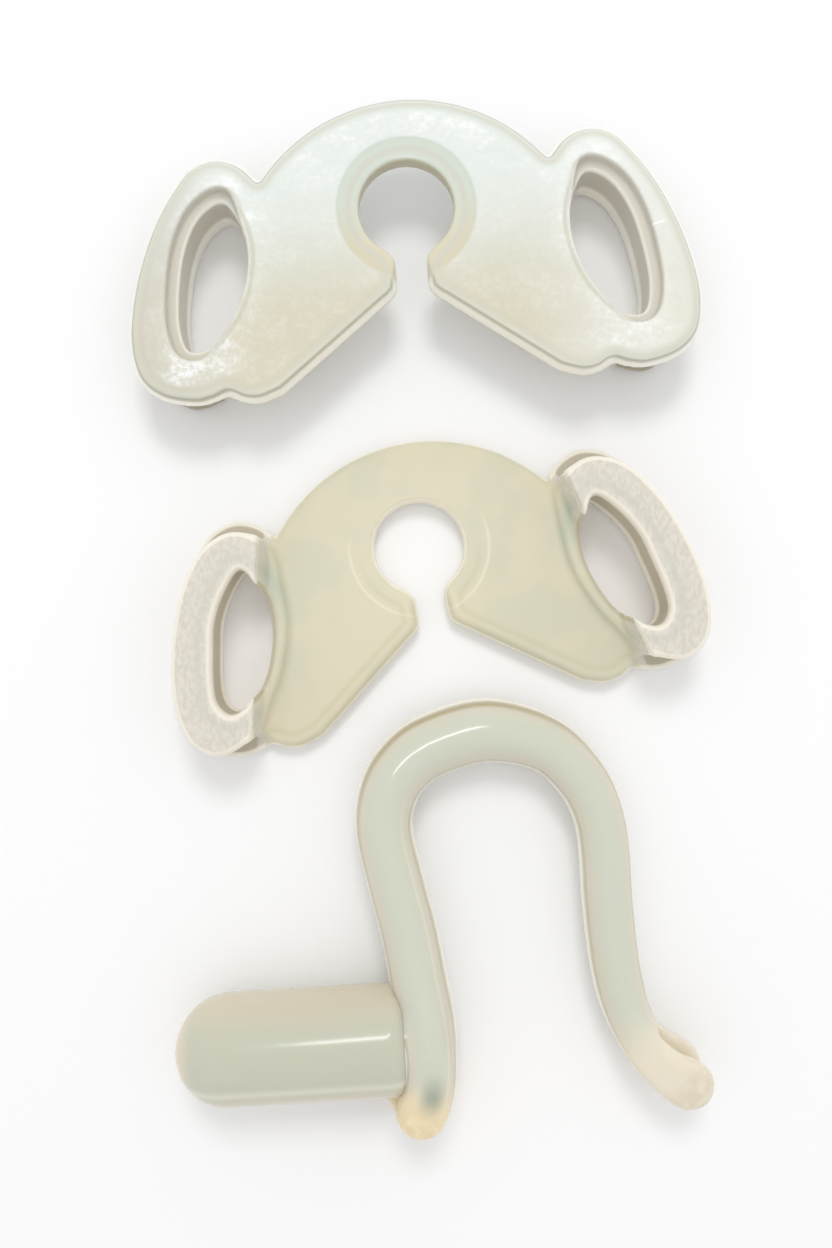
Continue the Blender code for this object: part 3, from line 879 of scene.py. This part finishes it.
def milky():
    """Back of the lower plate: beige, with silver-grey wings and a green tint where they join."""
    paint = Silicone("milky_silicone")
    up, root, front = paint.number("up"), paint.number("root"), paint.number("front")
    outline, hole, keyhole = paint.number("outline"), paint.number("hole"), paint.number("keyhole")
    wing = paint.fade(root, -1.0, -0.4)
    clouds = paint.noise(11.0)
    colour = paint.tint(rgb(210, 207, 184), rgb(217, 210, 185), paint.fade(clouds, 0.38, 0.62))
    satin = paint.fade(paint.noise(0.9, 4.0, (1.4, 0.8, 1.0)), 0.38, 0.62)
    wings = paint.tint(rgb(212, 207, 195), rgb(221, 217, 206), satin)
    wings = paint.tint(rgb(202, 201, 190), wings, 0.5 * paint.band(hole, 1.6, 2.6, 0.6))
    colour = paint.tint(wings, colour, wing)
    teal = paint.band(hole, 1.2, 3.0, 1.2) * paint.fade(root, 0.2, -1.0)
    teal = teal * (0.15 + 0.85 * paint.fade(up, -9.0, 1.0)) * paint.fade(clouds, 0.25, 0.5)
    colour = paint.tint(rgb(180, 192, 176), colour, 0.8 * teal)
    # Painted shade: a darker olive band just inside the body's lower edges.
    band = paint.band(outline, 2.1, 2.8, 0.5) * paint.fade(root, 0.0, -2.0)
    band = band * paint.fade(up, 2.0, -8.0)
    colour = paint.tint(rgb(202, 197, 166), colour, 0.6 * band)
    # Painted highlight: a light arc round the keyhole, where a low ridge would catch the light.
    ridge_highlight = paint.band(keyhole, 11.2, 11.6, 0.25) * paint.band(up, -11.0, 2.0, 3.0)
    colour = paint.tint(rgb(234, 229, 207), colour, 0.6 * ridge_highlight)
    # Painted shade in the gap between the wing's flanges.
    flange_gap_shade = paint.fade(front, 2.6, 3.2) * paint.fade(hole, 0.8, 1.2) * paint.fade(root, 0.2, 0.8)
    colour = paint.tint(rgb(186, 178, 158), colour, 0.85 * flange_gap_shade)
    # Painted light: bright lines of light round the outline and round the wings' edges.
    colour = paint.tint(rgb(242, 235, 219), colour, 0.9 * paint.fade(outline, 0.45, 0.15))
    colour = paint.tint(rgb(240, 235, 222), colour, 0.8 * wing * paint.fade(outline, 1.0, 0.7))
    # Painted light: a bright line along the edge of the wing's hole.
    hole_rim_glow = paint.band(hole, -0.1, 0.8, 0.25) * paint.fade(front, 2.0, 1.2) * wing
    colour = paint.tint(rgb(240, 234, 221), colour, 0.85 * hole_rim_glow)
    # Painted shade and light on the wall of the wing's hole: the wall is darkened, with a band of
    # painted light at its far end.
    wall = paint.fade(hole, 0.9, 0.5) * paint.fade(front, 1.4, 2.0)
    colour = paint.tint(rgb(192, 184, 162), colour, wall)
    colour = paint.tint(rgb(250, 243, 230), colour, wall * paint.fade(front, 6.4, 8.6))
    rough = 0.4 + 0.12 * wing
    height = 0.4 * wing * satin + 0.6 * paint.noise(3.0)
    return paint.cast(colour, rough, height)


def clear_grey():
    """The bow: glossy greenish grey, peach towards its edges, with painted lines of light and shade
    along both edges.
    """
    paint = Silicone("bow_silicone")
    across, along = paint.number("across"), paint.number("along")
    edge = paint.maths("ABSOLUTE", across)
    colour = paint.tint(rgb(214, 209, 193), rgb(207, 209, 194), paint.fade(edge, 0.35, 0.8))
    inner = paint.band(across, -0.66, -0.60, 0.05) * paint.fade(along, 60.0, 40.0)
    colour = paint.tint(rgb(228, 226, 214), colour, 0.5 * inner)
    # Painted light and shade along both edges, as light bent through the clear rod shows: a thin
    # dark line of painted shade, amber near the crown, and a line of painted light at the very edge.
    colour = paint.tint(rgb(182, 174, 148), colour, 0.7 * paint.band(edge, 0.85, 0.89, 0.04))
    crown_side = paint.band(along, bow_length * 0.36, bow_length * 0.56, 14.0)
    amber = paint.band(across, 0.78, 0.88, 0.06) * crown_side
    colour = paint.tint(rgb(170, 152, 112), colour, 0.7 * amber)
    colour = paint.tint(rgb(243, 238, 225), colour, paint.fade(edge, 0.92, 0.96))
    flecks = paint.fade(paint.noise(2.2, 3.0), 0.40, 0.62)
    left = paint.fade(along, 11.0, 4.0)
    colour = paint.tint(rgb(240, 221, 183), colour, 0.85 * left)
    right = paint.fade(along, bow_length - 20.0, bow_length - 10.0)
    colour = paint.tint(rgb(232, 222, 203), colour, 0.8 * right)
    spots = paint.fade(along, 5.5, 2.0) + paint.fade(along, bow_length - 7.0, bow_length - 3.0)
    colour = paint.tint(rgb(182, 164, 128), colour, 0.2 * spots * flecks)
    teal = paint.band(along, 5.5, 9.5, 2.5) * paint.band(across, -0.45, 0.25, 0.3)
    colour = paint.tint(rgb(150, 160, 146), colour, 0.8 * teal)
    return paint.cast(colour, 0.16, paint.noise(3.0), bump_mm=0.02)


def cloudy():
    """The handle rod: glossy grey-green, peach at the dome and along its sides."""
    paint = Silicone("handle_silicone")
    across, along = paint.number("across"), paint.number("along")
    edge = paint.maths("ABSOLUTE", across)
    colour = paint.tint(rgb(209, 201, 180), rgb(198, 199, 182), paint.fade(edge, 0.40, 1.0))
    # Painted light: a pale streak along the lower side, where light bent inside the rod comes out.
    low = paint.band(across, -0.58, -0.46, 0.08)
    colour = paint.tint(rgb(222, 220, 205), colour, 0.8 * low)
    colour = paint.tint(rgb(222, 209, 187), colour, paint.fade(along, 4.0, 0.5))
    return paint.cast(colour, 0.18, paint.noise(3.0), bump_mm=0.02)


# %% The set
upper = make_plate("upper", False, frosted())
lower = make_plate("lower", True, milky())
bow = make_bow(clear_grey())
handle = make_handle(cloudy())


# %% [markdown]
# The set lies on a pale table, seen straight from above. A broad lamp, 0.6 m up and 0.4 m towards
# the top of the table, throws soft shadows downwards, and an even white room fills them. Gloss
# doesn't show this lamp: the thin lines of light along the handle and the bow come from a small
# strip lamp beside the camera, which shows in gloss only.

# %% Table
def make_table():
    """Make a plain pale surface under the set."""
    mesh = bpy.data.meshes.new("table")
    reach = 1.5
    corners = [(-reach, -reach, 0), (reach, -reach, 0), (reach, reach, 0), (-reach, reach, 0)]
    mesh.from_pydata(corners, [], [(0, 1, 2, 3)])
    table = bpy.data.objects.new("table", mesh)
    bpy.context.scene.collection.objects.link(table)
    material = bpy.data.materials.new("pale_table")
    material.use_nodes = True
    shader = material.node_tree.nodes["Principled BSDF"]
    shader.inputs["Base Color"].default_value = (0.93, 0.93, 0.935, 1.0)
    shader.inputs["Roughness"].default_value = 0.9
    shader.inputs["Specular IOR Level"].default_value = 0.0
    mesh.materials.append(material)
    return table


table = make_table()


# %% Light
def lamp(name, place, sizes, watts, diffuse=True, gloss=True):
    """Make a rectangular area lamp that shines at the middle of the table."""
    data = bpy.data.lights.new(name, "AREA")
    data.energy, data.shape = watts, "RECTANGLE"
    data.size, data.size_y = sizes
    made = bpy.data.objects.new(name, data)
    made.visible_diffuse, made.visible_glossy = diffuse, gloss
    made.location = place
    made.rotation_euler = (-Vector(place)).to_track_quat("-Z", "Y").to_euler()
    bpy.context.scene.collection.objects.link(made)
    return made


lamp("overhead_softbox", (0.0, 0.40, 0.60), (0.20, 0.20), 1.35, gloss=False)
lamp("strip_glint", (-0.012, 0.018, 0.180), (0.080, 0.005), 0.08, diffuse=False)
room = bpy.data.worlds.new("white_room")
room.use_nodes = True
room.node_tree.nodes["Background"].inputs["Color"].default_value = (1.0, 1.0, 1.0, 1.0)
room.node_tree.nodes["Background"].inputs["Strength"].default_value = 0.87
bpy.context.scene.world = room

# %% Camera
CAMERA_HEIGHT = 175.0
camera_data = bpy.data.cameras.new("camera")
camera_data.lens = 30.29
camera_data.sensor_width = 36.0
camera = bpy.data.objects.new("camera", camera_data)
camera.location = (LAYOUT.x * MM, LAYOUT.y * MM, CAMERA_HEIGHT * MM)
camera_data.clip_start = 0.01
bpy.context.scene.collection.objects.link(camera)
bpy.context.scene.camera = camera
bpy.context.scene.view_settings.view_transform = "Standard"
